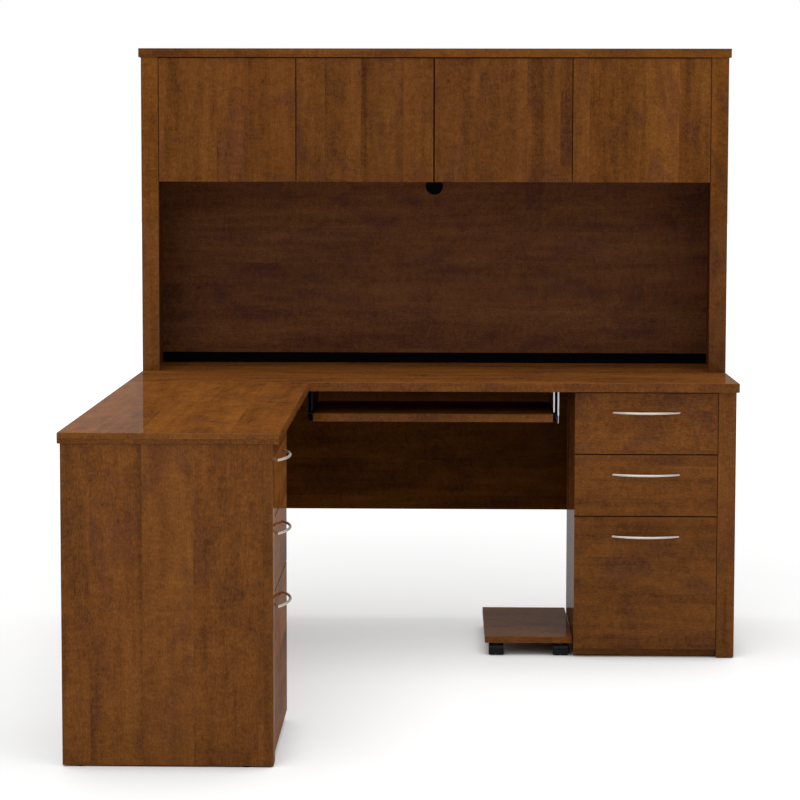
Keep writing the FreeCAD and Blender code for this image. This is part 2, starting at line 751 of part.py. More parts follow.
def check_document():
    """Stops if any feature failed or any sub-part is empty or broken."""
    for item in doc.Objects:
        if "Invalid" in item.State or "Error" in item.State:
            raise RuntimeError("%s is %s" % (item.Label, item.State))
    for item in nodes:
        if item.Shape.isNull() or not item.Shape.isValid() or not item.Shape.Solids:
            raise RuntimeError(item.Label + " has no valid solid")
    labels = [item.Label for item in nodes]
    if len(set(labels)) != len(labels):
        raise RuntimeError("two sub-parts share a name")


def write_parts():
    os.makedirs("parts", exist_ok=True)
    for item in nodes:
        item.Shape.exportStep("parts/%s.step" % item.Label)
        bounds = item.Shape.BoundBox
        print("%-32s %2d solids  x %8.1f %8.1f  y %8.1f %8.1f  z %8.1f %8.1f" % (
            item.Label, len(item.Shape.Solids), bounds.XMin, bounds.XMax,
            bounds.YMin, bounds.YMax, bounds.ZMin, bounds.ZMax))
    print(len(nodes), "sub-parts")


fill_sheet()
make_worktops()
make_end_panels()
make_modesty_panels()
make_glides()
make_pedestals()
make_hutch_frame()
make_hutch_back()
make_grommet()
make_doors()
make_keyboard_shelf()
make_trolley()
for caster_name, caster_x, caster_y in caster_spots():
    make_caster(caster_name, caster_x, caster_y)
doc.recompute()
check_document()
write_parts()
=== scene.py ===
import json
import math

import bmesh
import bpy
from mathutils import Matrix, Vector


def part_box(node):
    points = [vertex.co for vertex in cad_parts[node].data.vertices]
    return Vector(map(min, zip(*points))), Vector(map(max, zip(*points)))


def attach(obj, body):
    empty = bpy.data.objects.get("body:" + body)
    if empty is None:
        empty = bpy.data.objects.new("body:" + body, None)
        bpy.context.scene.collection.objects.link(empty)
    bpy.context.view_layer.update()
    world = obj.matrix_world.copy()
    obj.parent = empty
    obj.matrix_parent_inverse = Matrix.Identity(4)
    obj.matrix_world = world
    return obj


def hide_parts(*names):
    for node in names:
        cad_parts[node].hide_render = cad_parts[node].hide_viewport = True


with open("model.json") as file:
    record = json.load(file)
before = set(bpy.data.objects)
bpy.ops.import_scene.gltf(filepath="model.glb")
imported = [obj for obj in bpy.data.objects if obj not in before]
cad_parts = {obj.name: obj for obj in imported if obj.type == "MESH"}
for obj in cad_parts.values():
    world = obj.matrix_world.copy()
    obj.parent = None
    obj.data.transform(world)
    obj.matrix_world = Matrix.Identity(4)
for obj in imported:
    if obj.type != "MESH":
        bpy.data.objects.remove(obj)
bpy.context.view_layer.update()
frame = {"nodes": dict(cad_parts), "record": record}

NODES = frame["nodes"]
SIDES = ("right", "left")
DRAWERS = ("top", "middle", "file")


# ---------------------------------------------------------------- shader helpers

class Graph:
    """Short ways to add shader nodes to one node tree and join them."""

    def __init__(self, tree):
        self.tree = tree

    def add(self, kind, **settings):
        item = self.tree.nodes.new(kind)
        for name, value in settings.items():
            setattr(item, name, value)
        return item

    def feed(self, socket, value):
        """Joins another node's output to a socket, or sets the socket to a plain value."""
        if isinstance(value, bpy.types.NodeSocket):
            self.tree.links.new(value, socket)
        else:
            socket.default_value = value

    def math(self, operation, first, second=0.0, third=0.0, clamp=False):
        item = self.add("ShaderNodeMath", operation=operation, use_clamp=clamp)
        for socket, value in zip(item.inputs, (first, second, third)):
            self.feed(socket, value)
        return item.outputs[0]

    def vector(self, x, y, z):
        item = self.add("ShaderNodeCombineXYZ")
        for socket, value in zip(item.inputs, (x, y, z)):
            self.feed(socket, value)
        return item.outputs[0]

    def parts(self, vector):
        item = self.add("ShaderNodeSeparateXYZ")
        self.feed(item.inputs[0], vector)
        return item.outputs

    def scaled(self, vector, factors):
        item = self.add("ShaderNodeVectorMath", operation="MULTIPLY")
        self.feed(item.inputs[0], vector)
        item.inputs[1].default_value = factors
        return item.outputs[0]

    def shifted(self, vector, other):
        item = self.add("ShaderNodeVectorMath", operation="ADD")
        self.feed(item.inputs[0], vector)
        self.feed(item.inputs[1], other)
        return item.outputs[0]

    def noise(self, vector, factors, detail=2.0, rough=0.5, distortion=0.0):
        item = self.add("ShaderNodeTexNoise", noise_dimensions="3D")
        self.feed(item.inputs["Vector"], self.scaled(vector, factors))
        item.inputs["Scale"].default_value = 1.0
        item.inputs["Detail"].default_value = detail
        item.inputs["Roughness"].default_value = rough
        item.inputs["Distortion"].default_value = distortion
        return item.outputs["Fac"]

    def choose(self, mask, no, yes):
        """One of two vectors, by a mask that is 0 or 1."""
        item = self.add("ShaderNodeMix", data_type="VECTOR")
        self.feed(item.inputs["Factor"], mask)
        self.feed(item.inputs[4], no)
        self.feed(item.inputs[5], yes)
        return item.outputs[1]

    def multiplied(self, factor, colour, other):
        """A colour multiplied by another, as far as factor says."""
        item = self.add("ShaderNodeMix", data_type="RGBA", blend_type="MULTIPLY")
        self.feed(item.inputs["Factor"], factor)
        self.feed(item.inputs[6], colour)
        self.feed(item.inputs[7], other)
        return item.outputs[2]

    def ramp(self, value, *stops):
        """A colour ramp from (position, colour) stops."""
        item = self.add("ShaderNodeValToRGB")
        self.feed(item.inputs[0], value)
        band = item.color_ramp
        while len(band.elements) < len(stops):
            band.elements.new(0.5)
        for element, (position, colour) in zip(band.elements, stops):
            element.position = position
            element.color = (*colour, 1.0)
        return item.outputs[0]

    def remap(self, value, low, high, to_low=0.0, to_high=1.0, smooth=False):
        item = self.add("ShaderNodeMapRange", clamp=True,
                        interpolation_type="SMOOTHSTEP" if smooth else "LINEAR")
        self.feed(item.inputs[0], value)
        for socket, number in zip(list(item.inputs)[1:5], (low, high, to_low, to_high)):
            socket.default_value = number
        return item.outputs[0]


def new_material(name):
    """A material with an empty tree but for its shader. Returns it, its graph and the shader."""
    material = bpy.data.materials.new(name)
    material.use_nodes = True
    material.node_tree.nodes.clear()
    graph = Graph(material.node_tree)
    shader = graph.add("ShaderNodeBsdfPrincipled")
    output = graph.add("ShaderNodeOutputMaterial")
    graph.feed(output.inputs["Surface"], shader.outputs[0])
    return material, graph, shader


def bump(graph, shader, height, strength, distance):
    item = graph.add("ShaderNodeBump")
    item.inputs["Strength"].default_value = strength
    item.inputs["Distance"].default_value = distance
    graph.feed(item.inputs["Height"], height)
    graph.feed(shader.inputs["Normal"], item.outputs[0])


# ---------------------------------------------------------------- laminate

PLANK = 0.118             # mean width of a printed plank, in metres
BOARD_COAT = 0.20         # how far a board's clear coat covers it
FACES_ALONG = 0.7072      # a face looks along an axis when its normal's share of it is over this
TONES = ((0.0, (0.046, 0.0156, 0.0040)), (0.3, (0.093, 0.0318, 0.0069)),
         (0.55, (0.139, 0.0490, 0.0098)), (0.8, (0.181, 0.0670, 0.0134)),
         (1.0, (0.232, 0.0905, 0.0190)))


def make_woodgrain():
    """Node group: the printed cherry grain, from (along, across, through) in metres and a seed, times a
    per-board tint that is partly painted light and shade.
    """
    tree = bpy.data.node_groups.new("woodgrain", "ShaderNodeTree")
    for name, kind in (("Place", "NodeSocketVector"), ("Seed", "NodeSocketFloat"),
                       ("Tint", "NodeSocketVector")):
        tree.interface.new_socket(name, in_out="INPUT", socket_type=kind)
    for name, kind in (("Color", "NodeSocketColor"), ("Gloss", "NodeSocketFloat"),
                       ("Height", "NodeSocketFloat")):
        tree.interface.new_socket(name, in_out="OUTPUT", socket_type=kind)
    graph = Graph(tree)
    given = graph.add("NodeGroupInput")
    made = graph.add("NodeGroupOutput")
    seed = given.outputs["Seed"]

    # Planks: the pattern jumps from one to the next, and their edges are straight and crisp.
    along, across, through = graph.parts(given.outputs["Place"])
    sway = graph.noise(graph.vector(0.0, across, seed), (1.0, 6.0, 3.7), detail=0.0)
    warped = graph.math("MULTIPLY_ADD", sway, 0.11, across)
    plank = graph.math("FLOOR", graph.math("DIVIDE", graph.math("ADD", warped, graph.math(
        "MULTIPLY", seed, 0.61)), PLANK))
    chance = graph.add("ShaderNodeTexWhiteNoise", noise_dimensions="2D")
    graph.feed(chance.inputs["Vector"], graph.vector(plank, seed, 0.0))
    toss = graph.parts(chance.outputs["Color"])
    jump = graph.vector(graph.math("MULTIPLY", toss[0], 7.0), graph.math("MULTIPLY", toss[1], 0.35),
                        graph.math("MULTIPLY_ADD", toss[2], 3.0, graph.math("MULTIPLY", seed, 1.7)))
    place = graph.shifted(graph.vector(along, across, graph.math("MULTIPLY", through, 0.2)), jump)

    broad = graph.noise(place, (1.3, 11.0, 1.0), detail=3.0, rough=0.55, distortion=0.5)
    streaks = graph.noise(place, (6.0, 70.0, 1.0), detail=3.0, rough=0.6, distortion=0.3)
    fibres = graph.noise(place, (45.0, 620.0, 1.0), detail=3.0, rough=0.6)
    flecks = graph.noise(place, (150.0, 340.0, 1.0), detail=4.0, rough=0.75)
    smoke = graph.noise(place, (5.5, 9.0, 1.0), detail=3.0, rough=0.6, distortion=0.8)
    curls = graph.noise(place, (52.0, 26.0, 1.0), detail=3.0, rough=0.65, distortion=1.4)
    bend = graph.noise(place, (1.5, 4.0, 1.0), detail=2.0, rough=0.5)
    rings = graph.math("SINE", graph.math("MULTIPLY_ADD", bend, 34.0, graph.math(
        "MULTIPLY", graph.parts(place)[1], 160.0)))

    layers = ((broad, 0.66), (streaks, 0.36), (fibres, 0.52), (flecks, 1.15), (smoke, 0.55),
              (curls, 0.62))
    tone = graph.math("MULTIPLY_ADD", toss[0], 0.15, 0.5 - 0.075)
    for value, strength in layers:
        tone = graph.math("MULTIPLY_ADD", graph.math("SUBTRACT", value, 0.5), strength, tone)
    tone = graph.math("MULTIPLY_ADD", rings, 0.025, tone)

    # Dark smoky bands along the grain, then short pores and small knots.
    band = graph.remap(graph.noise(place, (0.8, 15.0, 1.0), detail=2.0, distortion=0.6),
                       0.60, 0.76, smooth=True)
    tone = graph.math("MULTIPLY_ADD", band, -0.17, tone)
    pores = graph.remap(graph.noise(place, (75.0, 1100.0, 1.0), detail=1.0), 0.62, 0.75)
    tone = graph.math("MULTIPLY_ADD", pores, -0.16, tone)
    spots = graph.add("ShaderNodeTexVoronoi", voronoi_dimensions="3D", feature="F1")
    graph.feed(spots.inputs["Vector"], graph.scaled(place, (9.0, 14.0, 1.0)))
    spots.inputs["Scale"].default_value = 1.0
    picked = graph.math("LESS_THAN", graph.parts(spots.outputs["Color"])[0], 0.30)
    knot = graph.math("MULTIPLY", picked, graph.remap(spots.outputs["Distance"], 0.03, 0.085,
                                                      1.0, 0.0, smooth=True))
    tone = graph.math("MULTIPLY_ADD", knot, -0.26, tone)

    colour = graph.ramp(graph.math("ADD", tone, 0.0, clamp=True), *TONES)
    reddish = graph.remap(graph.noise(place, (2.0, 8.0, 1.0), detail=2.0), 0.35, 0.65)
    colour = graph.multiplied(graph.math("MULTIPLY", reddish, 0.35), colour, (1.0, 0.86, 0.95, 1.0))
    plum = graph.remap(smoke, 0.50, 0.34, 0.0, 1.0, smooth=True)
    colour = graph.multiplied(plum, colour, (0.90, 0.90, 1.28, 1.0))
    # Per-board tint: partly painted light and shade on top of the print.
    print_with_painted_light = graph.add("ShaderNodeVectorMath", operation="MULTIPLY")
    graph.feed(print_with_painted_light.inputs[0], colour)
    graph.feed(print_with_painted_light.inputs[1], given.outputs["Tint"])
    graph.feed(made.inputs["Color"], print_with_painted_light.outputs[0])
    graph.feed(made.inputs["Gloss"], graph.math("MULTIPLY_ADD", streaks, 0.10, 0.36))
    graph.feed(made.inputs["Height"], graph.math("MULTIPLY_ADD", pores, -0.5, fibres))
    return tree


WOODGRAIN = make_woodgrain()


def laminate(grain, seed, tint_and_painted_light=1.0, coat=BOARD_COAT):
    """Printed laminate for one board. grain names the grain's direction on the board's faces that
    look along X, along Y and along Z, as in "zzx", and seed gives the board its own piece of print.
    tint is a factor on the print's colour, or three, and partly painted light and shade: it lightens or
    darkens a board for how light falls on it."""
    material, graph, shader = new_material("laminate_%s_%d" % (grain, seed))
    source = graph.add("ShaderNodeTexCoord")
    spot = dict(zip("xyz", graph.parts(source.outputs["Object"])))
    facing = dict(zip("xyz", graph.parts(source.outputs["Normal"])))
    maps = {}
    for look, run in zip("xyz", grain):
        cross = [axis for axis in "xyz" if axis not in (look, run)][0]
        maps[look] = graph.vector(spot[run], spot[cross], graph.math("ADD", spot[look], ord(look) * 1.3))
    mask = {axis: graph.math("GREATER_THAN", graph.math("ABSOLUTE", facing[axis]), FACES_ALONG)
            for axis in "xz"}
    print_place = graph.choose(mask["x"], graph.choose(mask["z"], maps["y"], maps["z"]), maps["x"])
    wood = graph.add("ShaderNodeGroup", node_tree=WOODGRAIN)
    graph.feed(wood.inputs["Place"], print_place)
    wood.inputs["Seed"].default_value = float(seed)
    wood.inputs["Tint"].default_value = tint_and_painted_light if isinstance(tint_and_painted_light, tuple) else (tint_and_painted_light, tint_and_painted_light, tint_and_painted_light)
    graph.feed(shader.inputs["Base Color"], wood.outputs["Color"])
    graph.feed(shader.inputs["Roughness"], wood.outputs["Gloss"])
    shader.inputs["Specular IOR Level"].default_value = 0.0
    shader.inputs["Coat Weight"].default_value = coat
    shader.inputs["Coat IOR"].default_value = 1.3
    shader.inputs["Coat Roughness"].default_value = 0.035
    bump(graph, shader, wood.outputs["Height"], 0.10, 0.0003)
    return material


# ---------------------------------------------------------------- other materials

def plastic(name, colour, rough, specular=0.3):
    """Moulded plastic with a fine texture."""
    material, graph, shader = new_material(name)
    source = graph.add("ShaderNodeTexCoord").outputs["Object"]
    cloud = graph.noise(source, (22.0, 22.0, 22.0), detail=3.0)
    grain = graph.noise(source, (900.0, 900.0, 900.0), detail=2.0)
    shader.inputs["Specular IOR Level"].default_value = specular
    dark = tuple(0.8 * part for part in colour)
    light = tuple(1.25 * part for part in colour)
    graph.feed(shader.inputs["Base Color"], graph.ramp(cloud, (0.35, dark), (0.65, light)))
    graph.feed(shader.inputs["Roughness"], graph.remap(cloud, 0.3, 0.7, rough - 0.06, rough + 0.06))
    bump(graph, shader, grain, 0.25, 0.0002)
    return material


def metal(name, colour, rough, stretch):
    """Brushed or plated metal; stretch sets how far the brushing runs along X, Y and Z."""
    material, graph, shader = new_material(name)
    source = graph.add("ShaderNodeTexCoord").outputs["Object"]
    brush = graph.noise(source, stretch, detail=4.0, rough=0.65)
    cloud = graph.noise(source, (30.0, 30.0, 30.0), detail=2.0)
    dark = tuple(0.86 * part for part in colour)
    tone = graph.math("MULTIPLY_ADD", cloud, 0.4, graph.math("MULTIPLY", brush, 0.6))
    graph.feed(shader.inputs["Base Color"], graph.ramp(tone, (0.3, dark), (0.7, colour)))
    graph.feed(shader.inputs["Roughness"], graph.remap(brush, 0.3, 0.7, rough - 0.07, rough + 0.07))
    shader.inputs["Metallic"].default_value = 1.0
    bump(graph, shader, brush, 0.08, 0.0001)
    return material


def melamine(name, colour):
    """Pale drawer board with a faint linen print."""
    material, graph, shader = new_material(name)
    source = graph.add("ShaderNodeTexCoord").outputs["Object"]
    weave = graph.math("ADD", graph.noise(source, (60.0, 1200.0, 1200.0), detail=2.0),
                       graph.noise(source, (1200.0, 60.0, 60.0), detail=2.0))
    cloud = graph.noise(source, (9.0, 9.0, 9.0), detail=3.0)
    tone = graph.math("MULTIPLY_ADD", cloud, 0.5, graph.math("MULTIPLY", weave, 0.25))
    dark = tuple(0.82 * part for part in colour)
    graph.feed(shader.inputs["Base Color"], graph.ramp(tone, (0.3, dark), (0.7, colour)))
    graph.feed(shader.inputs["Roughness"], graph.remap(cloud, 0.3, 0.7, 0.42, 0.52))
    bump(graph, shader, weave, 0.08, 0.0002)
    return material


BLACK = plastic("black_plastic", (0.0014, 0.0013, 0.0014), 0.50, specular=0.03)
# Black steel for the keyboard rails; on the left hanger it is painted shade.
BLACK_STEEL_AND_SHADE = plastic("black_steel_and_shade", (0.005, 0.005, 0.006), 0.40, specular=0.15)
BUMPER = plastic("clear_bumper", (0.50, 0.49, 0.46), 0.30)
# Black plastic, darkened further as painted shade for the shade under the trolley's board.
CASTER_HOOD_AND_SHADE = plastic("caster_plastic", (0.006, 0.006, 0.007), 0.42, specular=0.12)
CASTER_TREAD = plastic("caster_tread", (0.011, 0.011, 0.012), 0.55, specular=0.15)
NICKEL = metal("satin_nickel", (0.70, 0.63, 0.56), 0.50, (40.0, 40.0, 900.0))
ZINC = metal("zinc_steel", (0.66, 0.67, 0.68), 0.34, (500.0, 30.0, 500.0))
BOARD = melamine("drawer_board", (0.60, 0.57, 0.52))


def paint(name, material):
    """Gives a CAD node its material and keeps its mesh."""
    mesh = NODES[name].data
    mesh.materials.clear()
    mesh.materials.append(material)


def paint_nodes():
    """Every CAD node's finish. Upright boards have upright grain; fronts and tops have it level. Board
    tints are partly painted light and shade.
    """
    boards = {
        # Tints also carry painted light and shade: the worktops, the return end panel and the trolley
        # base are made lighter for the light that falls on them, and the doors and fronts each get their
        # own.
        "main_worktop": ("yxx", 1.17), "return_worktop": ("yxy", 1.12), "hutch_top": ("yxx", 0.95),
        "right_end_panel": ("zzy", 1.0), "left_end_panel": ("zzy", 1.0),
        "return_end_panel": ("zzx", 1.12), "front_posts": ("zzx", 1.0),
        # The modesty panels' dark tint is painted shade of the kneehole.
        "modesty_panels": ("yxx", (0.55, 0.52, 0.40)),
        "right_pedestal_carcass": ("zxy", 1.0), "left_pedestal_carcass": ("yzx", 1.0),
        "hutch_sides": ("zzy", 1.0), "hutch_posts": ("zzx", 1.0), "hutch_shelf": ("yxx", 1.0),
        # hutch_partition's dark tint is painted shade, so the gap between the doors reads dark; the hutch
        # back's cool tint is painted shade of the bay under the cupboards.
        "hutch_partition": ("zzy", 0.35), "hutch_back_panel": ("zxx", (0.92, 1.0, 1.85)),
        "keyboard_shelf": ("yxx", 1.05), "trolley_base": ("yxx", 1.1),
        # The door tints, bluer and each a little lighter or darker, are painted light.
        "door_1": ("zzx", (0.96, 0.98, 1.15)), "door_2": ("zzx", (0.94, 0.98, 1.2)),
        "door_3": ("zzx", (0.91, 0.95, 1.2)), "door_4": ("zzx", (1.0, 1.04, 1.15)),
        "right_top_drawer_front": ("zxx", 1.2), "right_middle_drawer_front": ("zxx", 1.03),
        "right_file_drawer_front": ("zxx", 0.95),
    }
    coats = {"modesty_panels": 0.02, "hutch_back_panel": 0.04}
    for seed, (name, (grain, tint_and_painted_light)) in enumerate(boards.items(), start=1):
        paint(name, laminate(grain, seed, tint_and_painted_light, coats.get(name, BOARD_COAT)))
    for seed, drawer in enumerate(DRAWERS, start=len(boards) + 1):
        paint("left_%s_drawer_front" % drawer, laminate("yzy", seed, tint_and_painted_light=1.15, coat=0.11))
    finishes = {"black_plastic": BLACK, "nickel": NICKEL, "steel": ZINC, "drawer_board": BOARD,
                "caster_plastic": CASTER_HOOD_AND_SHADE, "caster_tread": CASTER_TREAD}
    for part in frame["record"]["subparts"]:
        if part["material_slot"] in finishes:
            paint(part["node"], finishes[part["material_slot"]])


# ---------------------------------------------------------------- mesh helpers

MM = 0.001
SHARP = math.radians(32.0)        # a steeper bend than this is an edge


class Shape:
    """A mesh under construction, in millimetres, in a frame of its own."""

    def __init__(self, frame_of=None):
        self.mesh = bmesh.new()
        self.frame_of = frame_of or Matrix.Identity(4)

    def skin(self, rings, loop=False):
        """Joins rings of points. The ends are closed, or joined to each other in a loop."""
        made = [[self.mesh.verts.new(point) for point in ring] for ring in rings]
        count = len(made[0])
        pairs = list(zip(made, made[1:]))
        if loop:
            pairs.append((made[-1], made[0]))
        for first, second in pairs:
            for here in range(count):
                after = (here + 1) % count
                self.mesh.faces.new((first[here], first[after], second[after], second[here]))
        if not loop:
            self.mesh.faces.new(list(reversed(made[0])))
            self.mesh.faces.new(made[-1])

    def prism(self, outline, axis, start, length):
        """An outline pushed along an axis. Its points give the other two axes, in x, y, z order."""
        at = "xyz".index(axis)
        rings = []
        for level in (start, start + length):
            rings.append([Vector(point[:at] + (level,) + point[at:]) for point in outline])
        self.skin(rings)

    def block(self, low, high):
        outline = ((low[0], low[1]), (high[0], low[1]), (high[0], high[1]), (low[0], high[1]))
        self.prism(outline, "z", low[2], high[2] - low[2])

    def turned(self, profile, centre, axis, steps=24, loop=False):
        """A profile of (radius, height) turned about an axis through centre."""
        turn = Vector((0.0, 0.0, 1.0)).rotation_difference(Vector(axis)).to_matrix()
        rings = []
        for radius, height in profile:
            angles = [math.tau * step / steps for step in range(steps)]
            rings.append([Vector(centre) + turn @ Vector((radius * math.cos(angle),
                                                          radius * math.sin(angle), height))
                          for angle in angles])
        self.skin(rings, loop)

    def screw(self, centre, axis, radius=3.5, high=1.4):
        """A screw's head with a small dip in the middle."""
        profile = ((radius, 0.0), (radius, 0.4 * high), (0.8 * radius, 0.9 * high),
                   (0.45 * radius, high), (0.3 * radius, high), (0.2 * radius, 0.4 * high))
        self.turned(profile, centre, axis, steps=16)

    def finish(self, name, body, slot, material, ease=0.0, replaced=()):
        """Turns the mesh into a piece that rides on a body, with its sharp edges eased."""
        bmesh.ops.recalc_face_normals(self.mesh, faces=self.mesh.faces[:])
        self.mesh.transform(self.frame_of @ Matrix.Scale(MM, 4))
        data = bpy.data.meshes.new(name)
        self.mesh.to_mesh(data)
        self.mesh.free()
        data.shade_smooth()
        data.set_sharp_from_angle(angle=SHARP)
        data.materials.append(material)
        piece = bpy.data.objects.new(name, data)
        bpy.context.collection.objects.link(piece)
        if ease:
            rounding = piece.modifiers.new("ease", "BEVEL")
            rounding.width = ease * MM
            rounding.segments = 2
            rounding.limit_method = "ANGLE"
            rounding.angle_limit = SHARP
        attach(piece, body)
        if replaced:
            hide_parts(*replaced)


def box_mm(node):
    """A node's lowest and highest corners, in millimetres."""
    low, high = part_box(node)
    return [value / MM for value in low], [value / MM for value in high]


# ---------------------------------------------------------------- drawers

FRONT_WIDE = 395.0        # a drawer front
FRONT_THICK = 18.0
WALL = 16.0               # pedestal walls
RUNNER_LONG = 350.0
RUNNER_HIGH = 35.0
RUNNER_LIFT = 30.0        # runners, above the bottom of the drawer box
RUNNER_GAUGE = 1.2        # thickness of their sheet steel
RUNNER_FIXED = 5.5        # how far the member on the pedestal wall stands off it
RUNNER_MOVING = 6.5       # how far the member on the drawer box stands off it
ROLLER_WIDE = 4.0
BOX_LEFT = 28.5           # outer faces of a drawer box
BOX_RIGHT = FRONT_WIDE - BOX_LEFT
BOX_WALL = 12.0
BOX_BACK = FRONT_THICK + RUNNER_LONG
BOW_SPAN = 176.0          # between the middles of a handle's ends, on the face
BOW_RISE = 22.0
BOW_DEEP = 3.3            # half of the bow's thickness off the face, and half of its height
BOW_HIGH = 3.5
BOW_THINS = 0.18          # share of its thickness that it loses at its ends


def pedestal_frame(side):
    """Frame of a pedestal: X along its drawer faces from their left end, Y into it, Z up."""
    low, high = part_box(side + "_top_drawer_front")
    if side == "right":
        return Matrix.Translation((low[0], low[1], 0.0))
    return Matrix.Translation((high[0], low[1], 0.0)) @ Matrix.Rotation(math.radians(90.0), 4, "Z")


def bow_handle(shape, z):
    """A bow that swells a little to its middle and ends on the drawer's face."""
    radius = ((BOW_SPAN / 2) ** 2 + BOW_RISE ** 2) / (2 * BOW_RISE)
    behind = radius - BOW_RISE
    reach = math.acos(behind / radius)
    last = 0.90 * reach
    steps = 36
    corners = 20
    sunk = 0.3
    turns = [last * (2.0 * step / steps - 1.0) for step in range(steps + 1)]
    rings = []
    for turn in [-reach] + turns + [reach]:
        middle = Vector((FRONT_WIDE / 2 + radius * math.sin(turn), behind - radius * math.cos(turn), z))
        out = Vector((math.sin(turn), -math.cos(turn), 0.0))
        along = Vector((math.cos(turn), math.sin(turn), 0.0))
        slim = 1.0 - BOW_THINS * (turn / reach) ** 2
        ring = []
        for corner in range(corners):
            angle = math.tau * corner / corners
            point = middle + out * (BOW_DEEP * slim * math.cos(angle))
            point.z += BOW_HIGH * slim * math.sin(angle)
            if abs(turn) == reach:
                point += along * ((sunk - point.y) / along.y)
            ring.append(point)
        rings.append(ring)
    shape.skin(rings)


def channel(shape, x_web, open_to, y_start, z_low, depth):
    """A C-shaped runner member; open_to is 1 or -1, the way its lips point along X."""
    z_high = z_low + RUNNER_HIGH
    lip = x_web + open_to * depth
    inner = x_web + open_to * RUNNER_GAUGE
    outline = ((x_web, z_low), (lip, z_low), (lip, z_low + RUNNER_GAUGE), (inner, z_low + RUNNER_GAUGE),
               (inner, z_high - RUNNER_GAUGE), (lip, z_high - RUNNER_GAUGE), (lip, z_high),
               (x_web, z_high))
    shape.prism(outline, "y", y_start, RUNNER_LONG)


def roller(shape, x_middle, y, z):
    """A small roller with a bore, its axis along X."""
    profile = ((1.5, 0.0), (7.0, 0.0), (8.0, 0.8), (8.0, ROLLER_WIDE - 0.8), (7.0, ROLLER_WIDE),
               (1.5, ROLLER_WIDE))
    shape.turned(profile, (x_middle - ROLLER_WIDE / 2, y, z), (1.0, 0.0, 0.0), steps=20, loop=True)


def make_handle(name, place):
    low, high = box_mm(name + "_handle")
    handle = Shape(place)
    bow_handle(handle, (low[2] + high[2]) / 2)
    handle.finish(name + "_bow", name, "nickel", NICKEL, replaced=(name + "_handle",))


def make_drawer_box(name, place, bottom, top):
    """Two sides, a front and a back a touch lower, and a bottom let into their grooves."""
    boards = Shape(place)
    for x in (BOX_LEFT, BOX_RIGHT - BOX_WALL):
        boards.block((x, FRONT_THICK, bottom), (x + BOX_WALL, BOX_BACK, top))
    for y in (FRONT_THICK, BOX_BACK - BOX_WALL):
        boards.block((BOX_LEFT + BOX_WALL, y, bottom), (BOX_RIGHT - BOX_WALL, y + BOX_WALL, top - 0.5))
    groove = bottom + 8.0
    boards.block((BOX_LEFT + BOX_WALL, FRONT_THICK + BOX_WALL, groove),
                 (BOX_RIGHT - BOX_WALL, BOX_BACK - BOX_WALL, groove + 5.0))
    boards.finish(name + "_boards", name, "drawer_board", BOARD, ease=0.8, replaced=(name + "_box",))


def make_moving_rails(name, place, bottom, top, holds_files):
    """The runner members on a drawer box, its front's screws and the rails for hanging files."""
    rails = Shape(place)
    z_rail = bottom + RUNNER_LIFT
    z_middle = z_rail + RUNNER_HIGH / 2
    for x_box, outward in ((BOX_LEFT, -1.0), (BOX_RIGHT, 1.0)):
        channel(rails, x_box, outward, FRONT_THICK, z_rail, RUNNER_MOVING)
        for y in (60.0, 190.0, 330.0):
            rails.screw((x_box + outward * RUNNER_GAUGE, y, z_middle), (outward, 0.0, 0.0))
        roller(rails, x_box + outward * 3.9, BOX_BACK - 14.0, z_middle)
    for x in (100.0, FRONT_WIDE - 100.0):
        for z in (bottom + 35.0, top - 25.0):
            rails.screw((x, FRONT_THICK + BOX_WALL, z), (0.0, 1.0, 0.0), radius=4.5)
    if holds_files:
        gauge = 2.0
        for x in (BOX_LEFT + BOX_WALL, BOX_RIGHT - BOX_WALL - gauge):
            rails.block((x, FRONT_THICK + BOX_WALL, top - 14.0),
                        (x + gauge, BOX_BACK - BOX_WALL, top + 5.0))
    rails.finish(name + "_rails", name, "steel", ZINC, ease=0.3)


def make_drawer_pieces(side, drawer):
    """One drawer's handle, box, hanging rails and moving runner members."""
    name = "%s_%s_drawer" % (side, drawer)
    place = pedestal_frame(side)
    low, high = box_mm(name + "_box")
    make_handle(name, place)
    make_drawer_box(name, place, low[2], high[2])
    make_moving_rails(name, place, low[2], high[2], drawer == "file")


def make_fixed_runners():
    """The runner members on the pedestal walls, with a roller at the front end of each."""
    replaced = ("drawer_runners",)
    for side in SIDES:
        rails = Shape(pedestal_frame(side))
        for drawer in DRAWERS:
            z_rail = box_mm("%s_%s_drawer_box" % (side, drawer))[0][2] + RUNNER_LIFT
            z_middle = z_rail + RUNNER_HIGH / 2
            for x_wall, inward in ((WALL, 1.0), (FRONT_WIDE - WALL, -1.0)):
                channel(rails, x_wall, inward, FRONT_THICK + 1.0, z_rail, RUNNER_FIXED)
                roller(rails, x_wall + inward * 3.3, 33.0, z_middle)
                for y in (80.0, 200.0, 340.0):
                    rails.screw((x_wall + inward * RUNNER_GAUGE, y, z_middle), (inward, 0.0, 0.0))
        rails.finish(side + "_fixed_runners", "desk", "steel", ZINC, ease=0.3, replaced=replaced)
        replaced = ()


# ---------------------------------------------------------------- hutch fittings

CUP_RADIUS = 17.5
PLATE_THICK = 3.0         # hinge plates
ARM_THICK = 11.0


def hinge_heights():
    """Heights of the lower and the upper hinge of every door."""
    low, high = box_mm("door_1_hinge_cups")
    return low[2] + CUP_RADIUS, high[2] - CUP_RADIUS


